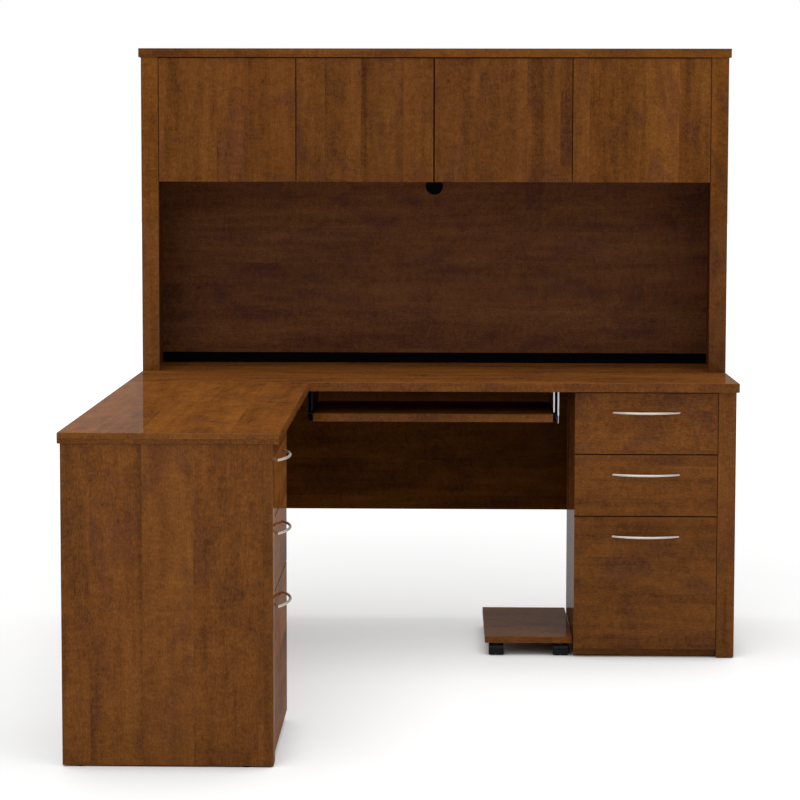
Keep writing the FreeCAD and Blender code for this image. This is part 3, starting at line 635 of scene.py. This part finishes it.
def make_door_fittings(number):
    """Cup rims with their screws, and soft bumpers, on the back of a door."""
    name = "door_%d" % number
    door_low, door_high = box_mm(name)
    cup_low, cup_high = box_mm(name + "_hinge_cups")
    x_cup = (cup_low[0] + cup_high[0]) / 2
    y_back = door_high[1]
    back = (0.0, 1.0, 0.0)
    rim = ((CUP_RADIUS - 0.5, 0.0), (CUP_RADIUS + 3.0, 0.0), (CUP_RADIUS + 3.0, 0.7),
           (CUP_RADIUS + 2.5, 1.0), (CUP_RADIUS - 0.2, 1.0))
    ear = ((-8.0, 18.0), (8.0, 18.0), (8.0, 28.0), (5.0, 31.0), (-5.0, 31.0), (-8.0, 28.0))
    ear_thick = 0.9
    rims = Shape()
    for z in hinge_heights():
        rims.turned(rim, (x_cup, y_back, z), back, steps=40, loop=True)
        for up in (-1.0, 1.0):
            rims.prism([(x_cup + x, z + up * rise) for x, rise in ear], "y", y_back, ear_thick)
            rims.screw((x_cup, y_back + ear_thick, z + up * 25.0), back, radius=3.4, high=0.9)
    rims.finish(name + "_cup_rims", name, "nickel", NICKEL)
    bumpers = Shape()
    bumper = ((4.0, 0.0), (3.9, 0.7), (3.2, 1.5), (2.0, 1.9), (0.6, 2.0))
    inset = 12.0
    for x in (door_low[0] + inset, door_high[0] - inset):
        bumpers.turned(bumper, (x, y_back, door_low[2] + inset), back, steps=20)
    bumpers.finish(name + "_bumpers", name, "black_plastic", BUMPER)


def hinge_on_wall(shape, x_plate, inward, y_front, z):
    """A winged plate on a wall's face, the arm on it and their screws. Outlines are (y, z)."""
    wing = ((14.0, -8.0), (27.0, -8.0), (31.0, -25.0), (45.0, -25.0), (49.0, -8.0), (58.0, -8.0),
            (58.0, 8.0), (49.0, 8.0), (45.0, 25.0), (31.0, 25.0), (27.0, 8.0), (14.0, 8.0))
    arm = ((0.0, -5.5), (8.0, -7.0), (34.0, -7.0), (44.0, -5.0), (44.0, 5.0), (34.0, 7.0),
           (8.0, 7.0), (0.0, 5.5))
    x_arm = x_plate + inward * PLATE_THICK
    x_screw = x_arm + inward * ARM_THICK
    shape.prism([(y_front + y, z + up) for y, up in wing], "x", x_plate, inward * PLATE_THICK)
    shape.prism([(y_front + y, z + up) for y, up in arm], "x", x_arm, inward * ARM_THICK)
    for up in (-18.0, 18.0):
        shape.screw((x_arm, y_front + 38.0, z + up), (inward, 0.0, 0.0), radius=4.2)
    for y in (16.0, 34.0):
        shape.screw((x_screw, y_front + y, z), (inward, 0.0, 0.0), radius=3.2, high=1.0)


def make_hinge_fittings():
    """Winged plates and arms on the cabinet walls, and wood spacers behind the outer ones."""
    y_front = box_mm("hinge_fittings")[0][1]
    side_wall = box_mm("hutch_shelf")[1][0]
    partition = box_mm("hutch_partition")[1][0]
    door_edge = box_mm("door_4")[1][0]
    spacer = side_wall - door_edge - PLATE_THICK
    metal_parts = Shape()
    spacers = Shape()
    for wall, inward, packed in ((-side_wall, 1.0, True), (-partition, -1.0, False),
                                 (partition, 1.0, False), (side_wall, -1.0, True)):
        x_plate = wall + inward * spacer * packed
        for z in hinge_heights():
            hinge_on_wall(metal_parts, x_plate, inward, y_front, z)
            if packed:
                x_low = min(wall, x_plate)
                spacers.block((x_low, y_front, z - 30.0), (x_low + spacer, y_front + 60.0, z + 30.0))
    metal_parts.finish("hinge_arms", "desk", "steel", ZINC, ease=0.5, replaced=("hinge_fittings",))
    spacers.finish("hinge_spacers", "desk", "laminate", laminate("zzy", 40), ease=0.8)


def make_grommet_brush():
    """Three rows of bristles that close the cable slot."""
    low, high = box_mm("cable_grommet")
    middle = (low[2] + high[2]) / 2
    half_slot = 10.9
    pitch = 0.5
    in_a_row = 44
    shape = Shape()
    for row, y in enumerate((low[1] + 1.0, low[1] + 2.0, low[1] + 3.0)):
        for step in range(in_a_row):
            x = -half_slot + step * pitch + 0.17 * row
            lean = 0.2 * math.sin(step * 2.4 + row)
            tip = middle - 9.5 + 0.2 * math.sin(step * 1.7 + 2.0 * row)
            rings = []
            for z, half, shift in ((middle + 0.6, 0.27, 0.0), (middle - 5.0, 0.25, 0.4 * lean),
                                   (tip, 0.24, lean)):
                rings.append([Vector((x + shift + a * half, y + b * half, z))
                              for a, b in ((-1, -1), (1, -1), (1, 1), (-1, 1))])
            shape.skin(rings)
    shape.finish("grommet_brush", "desk", "black_plastic", BLACK)


def make_back_screws():
    """Small screws round the edge of the hutch's back panel, seen from behind."""
    low, high = box_mm("hutch_back_panel")
    columns = 11
    rows = 5
    corner_inset = 31.1
    x_pitch = (high[0] - low[0] - 2 * corner_inset) / (columns - 1)
    z_first = low[2] + 140.0
    z_pitch = 148.0
    spots = []
    for column in range(columns):
        x = low[0] + corner_inset + column * x_pitch
        spots += [(x, low[2] + 12.0), (x, high[2] - 12.0)]
    for row in range(rows):
        z = z_first + row * z_pitch
        spots += [(low[0] + 10.0, z), (high[0] - 10.0, z)]
    shape = Shape()
    for x, z in spots:
        shape.screw((x, high[1], z), (0.0, 1.0, 0.0), radius=3.6, high=0.6)
    shape.finish("back_panel_screws", "desk", "steel", ZINC)


def make_cam_covers():
    """Round covers over the fasteners inside the end panels and the modesty panel."""
    profile = ((8.5, 0.0), (8.5, 0.7), (8.0, 1.1), (1.0, 1.2))
    inner = box_mm("right_end_panel")[0][0]
    panel_thick = 16.0
    y_modesty = box_mm("modesty_panels")[1][1] - panel_thick
    upper = 700.0
    from_corner = 34.0
    shape = Shape()
    for x, turn in ((-inner, 1.0), (inner, -1.0)):
        for y in (380.0, 520.0, 800.0):
            shape.turned(profile, (x, y, upper), (turn, 0.0, 0.0))
        for z in (370.0, 540.0, upper):
            shape.turned(profile, (x + turn * from_corner, y_modesty, z), (0.0, -1.0, 0.0))
    shape.finish("cam_covers", "desk", "laminate", laminate("zzx", 41, tint_and_painted_light=0.8))


def make_plate_screws():
    """Screw heads on the plates that join the two worktops from below."""
    low, high = box_mm("joint_plates")
    shape = Shape()
    for x in (low[0] + 20.0, (low[0] + high[0]) / 2, high[0] - 20.0):
        for y in (low[1] + 15.0, low[1] + 45.0, high[1] - 45.0, high[1] - 15.0):
            shape.screw((x, y, low[2]), (0.0, 0.0, -1.0), radius=4.0, high=1.6)
    shape.finish("plate_screws", "desk", "steel", ZINC)


# ---------------------------------------------------------------- keyboard shelf

HANGER_SKIN = 2.0         # thickness of the hangers' top flanges
INNER_LEG = 685.0         # lower end of a hanger's short inner leg
JOG = 674.0               # height at which a hanger's long leg steps in to clear the slide


def hanger_profile(shelf_edge, outer, bottom, top):
    """Section of the right hanger as (x, z): a short inner leg, a flange and a long outer leg."""
    return ((shelf_edge + 1.0, top), (outer, top), (outer, JOG + 3.0), (outer - 1.4, JOG),
            (outer - 1.4, bottom), (outer - 3.2, bottom), (outer - 3.2, JOG + 1.0),
            (outer - 4.4, JOG + 4.0), (outer - 4.4, top - HANGER_SKIN),
            (shelf_edge + 5.5, top - HANGER_SKIN), (shelf_edge + 5.5, INNER_LEG),
            (shelf_edge + 1.6, INNER_LEG))


def make_keyboard_hangers(shelf_edge):
    """Folded hangers under the worktop. The left one is given black steel as painted shade; the right one
    is zinc.
    """
    low, high = box_mm("keyboard_hangers")
    profile = hanger_profile(shelf_edge, high[0], low[2], high[2])
    replaced = ("keyboard_hangers",)
    # The left hanger's black is painted shade.
    for side, sign, finish in (("right", 1.0, ZINC), ("left", -1.0, BLACK_STEEL_AND_SHADE)):
        hanger = Shape()
        hanger.prism([(sign * x, z) for x, z in profile], "y", low[1], high[1] - low[1])
        for y in (low[1] + 40.0, (low[1] + high[1]) / 2, high[1] - 40.0):
            hanger.screw((sign * (shelf_edge + 9.0), y, high[2] - HANGER_SKIN), (0.0, 0.0, -1.0),
                         radius=3.0)
        hanger.finish("keyboard_hanger_" + side, "desk", "steel", finish, ease=0.4, replaced=replaced)
        replaced = ()


def make_keyboard_rails(shelf_edge):
    """The slides on the shelf's edges, with a roller near each end."""
    low, high = box_mm("keyboard_slides")
    skin = 2.0
    slides = Shape()
    for sign in (1.0, -1.0):
        web, lip = sign * shelf_edge, sign * high[0]
        profile = ((web, low[2]), (lip, low[2]), (lip, low[2] + skin), (web + sign * skin, low[2] + skin),
                   (web + sign * skin, high[2] - skin), (lip, high[2] - skin), (lip, high[2]),
                   (web, high[2]))
        slides.prism(profile, "y", low[1], high[1] - low[1])
        for y in (low[1] + 14.0, high[1] - 14.0):
            roller(slides, sign * (shelf_edge + 7.0), y, (low[2] + high[2]) / 2)
    slides.finish("keyboard_rails", "keyboard_tray", "steel", BLACK_STEEL_AND_SHADE, ease=0.4,
                  replaced=("keyboard_slides",))


# ---------------------------------------------------------------- casters

WHEEL_RADIUS = 15.0
TRAIL = 8.0               # a caster's axle, in front of its upright axis
HALF_WEB = 4.8            # from a caster's middle to the inner face of a wheel
HOOD_RADIUS = 17.2
HOOD_THICK = 1.2


def wheel_profile(wide):
    """Half section of a wheel as (radius, across): bore, tread with a groove in it, rim and hub."""
    rim = WHEEL_RADIUS
    groove = wide / 2
    return ((2.8, 0.5), (11.0, 0.5), (12.5, 0.0), (rim - 1.0, 0.0), (rim, 1.2), (rim, groove - 0.7),
            (rim - 0.5, groove - 0.3), (rim - 0.5, groove + 0.3), (rim, groove + 0.7), (rim, wide - 1.2),
            (rim - 1.0, wide), (12.4, wide), (11.2, wide - 1.6), (6.4, wide - 2.2), (5.6, wide - 0.8),
            (2.8, wide - 0.6))


def make_caster(corner):
    """Twin wheels with a tread groove and hub, under a rounded hood."""
    name = "caster_" + corner
    low, high = box_mm(name + "_fork")
    x = (low[0] + high[0]) / 2
    y = (low[1] + high[1]) / 2 - TRAIL
    half = (high[0] - low[0]) / 2
    profile = wheel_profile(half - HALF_WEB)
    wheels = Shape()
    for side in (-1.0, 1.0):
        wheels.turned(profile, (x + side * HALF_WEB, y, WHEEL_RADIUS), (side, 0.0, 0.0), steps=48,
                      loop=True)
    wheels.finish(name + "_tyres", name + "_roller", "caster_tread", CASTER_TREAD,
                  replaced=(name + "_wheels",))
    hood = Shape()
    shell = []
    outside = range(-12, 217, 6)
    inside = reversed(outside)
    for radius, angles in ((HOOD_RADIUS, outside), (HOOD_RADIUS - HOOD_THICK, inside)):
        for degrees in angles:
            angle = math.radians(degrees)
            shell.append((y + radius * math.cos(angle), WHEEL_RADIUS + radius * math.sin(angle)))
    hood.prism(shell, "x", x - half, 2 * half)
    hood.finish(name + "_hood", name + "_swivel", "caster_plastic", CASTER_HOOD_AND_SHADE, ease=0.35)


def make_pieces():
    for side in SIDES:
        for drawer in DRAWERS:
            make_drawer_pieces(side, drawer)
    make_fixed_runners()
    for number in range(1, 5):
        make_door_fittings(number)
    make_hinge_fittings()
    make_grommet_brush()
    make_back_screws()
    make_cam_covers()
    make_plate_screws()
    shelf_edge = box_mm("keyboard_shelf")[1][0]
    make_keyboard_hangers(shelf_edge)
    make_keyboard_rails(shelf_edge)
    for corner in ("front_left", "front_right", "rear_left", "rear_right"):
        make_caster(corner)


# ---------------------------------------------------------------- studio

def make_floor():
    """A large pale floor, which the light turns to near white."""
    reach = 40.0
    mesh = bpy.data.meshes.new("floor")
    mesh.from_pydata([(-reach, -reach, 0), (reach, -reach, 0), (reach, reach, 0), (-reach, reach, 0)],
                     [], [(0, 1, 2, 3)])
    floor = bpy.data.objects.new("floor", mesh)
    bpy.context.collection.objects.link(floor)
    material, graph, shader = new_material("floor_paint")
    source = graph.add("ShaderNodeTexCoord").outputs["Object"]
    cloud = graph.noise(source, (0.8, 0.8, 0.8), detail=3.0)
    graph.feed(shader.inputs["Base Color"], graph.ramp(cloud, (0.3, (0.60, 0.60, 0.60)),
                                                       (0.7, (0.62, 0.62, 0.62))))
    shader.inputs["Roughness"].default_value = 0.6
    shader.inputs["Specular IOR Level"].default_value = 0.1
    # The sweep is lit from within a little, more so far out, so that it has no horizon.
    distance = graph.add("ShaderNodeVectorMath", operation="LENGTH")
    graph.feed(distance.inputs[0], source)
    glow = graph.remap(distance.outputs["Value"], 1.6, 6.0, 0.36, 0.75, smooth=True)
    # Close under a board the glow dies away, so that contact shadows are dark.
    open_sky = graph.add("ShaderNodeAmbientOcclusion", samples=8)
    open_sky.inputs["Distance"].default_value = 0.15
    lit = graph.remap(open_sky.outputs["AO"], 0.15, 0.75, 0.0, 1.0)
    shader.inputs["Emission Color"].default_value = (1.0, 1.0, 1.0, 1.0)
    graph.feed(shader.inputs["Emission Strength"], graph.math("MULTIPLY", glow, lit))
    mesh.materials.append(material)


def area_light(name, place, target, size, power):
    data = bpy.data.lights.new(name, "AREA")
    data.shape = "RECTANGLE"
    data.size, data.size_y = size
    data.energy = power
    lamp = bpy.data.objects.new(name, data)
    bpy.context.collection.objects.link(lamp)
    lamp.location = place
    lamp.rotation_euler = (Vector(target) - Vector(place)).to_track_quat("-Z", "Y").to_euler()


def make_world():
    """White where the camera looks, and a soft dome for light: bright above and behind the desk."""
    world = bpy.data.worlds.new("studio")
    bpy.context.scene.world = world
    world.use_nodes = True
    world.node_tree.nodes.clear()
    graph = Graph(world.node_tree)
    direction = graph.parts(graph.add("ShaderNodeTexCoord").outputs["Generated"])
    rear = graph.remap(direction[1], -0.55, 0.35, 0.05, 0.60, smooth=True)
    above = graph.remap(direction[2], 0.0, 0.8, 0.0, 0.35, smooth=True)
    dome = graph.add("ShaderNodeBackground")
    graph.feed(dome.inputs["Strength"], graph.math("ADD", rear, above))
    white = graph.add("ShaderNodeBackground")
    white.inputs["Strength"].default_value = 1.0
    white.inputs["Color"].default_value = (1.0, 1.0, 1.0, 1.0)
    dome.inputs["Color"].default_value = (1.0, 1.0, 1.0, 1.0)
    seen = graph.add("ShaderNodeLightPath").outputs["Is Camera Ray"]
    mix = graph.add("ShaderNodeMixShader")
    graph.feed(mix.inputs[0], seen)
    graph.feed(mix.inputs[1], dome.outputs[0])
    graph.feed(mix.inputs[2], white.outputs[0])
    output = graph.add("ShaderNodeOutputWorld")
    graph.feed(output.inputs["Surface"], mix.outputs[0])


def make_lights():
    area_light("key", (-1.6, -5.2, 3.6), (0.0, 0.3, 0.9), (3.2, 2.4), 55.0)
    area_light("fill", (3.8, -4.2, 2.6), (0.0, 0.3, 0.8), (2.6, 2.2), 25.0)
    area_light("overhead", (0.0, -0.6, 4.6), (0.0, -0.2, 0.0), (5.0, 5.0), 175.0)


def make_camera():
    """A long lens a little above the doors' lower edge, nearly square to the wall."""
    down = 4.2
    roll = -0.095
    left = 1.118
    data = bpy.data.cameras.new("camera")
    data.sensor_width = 36.0
    data.lens = 101.93
    data.shift_y = -0.10
    data.clip_end = 100.0
    camera = bpy.data.objects.new("camera", data)
    bpy.context.collection.objects.link(camera)
    camera.location = (0.0297, -5.9601, 1.4009)
    camera.rotation_euler = [math.radians(angle) for angle in (90.0 - down, roll, left)]
    bpy.context.scene.camera = camera


make_camera()
bpy.context.scene.view_settings.view_transform = "Standard"
paint_nodes()
make_pieces()
make_floor()
make_world()
make_lights()
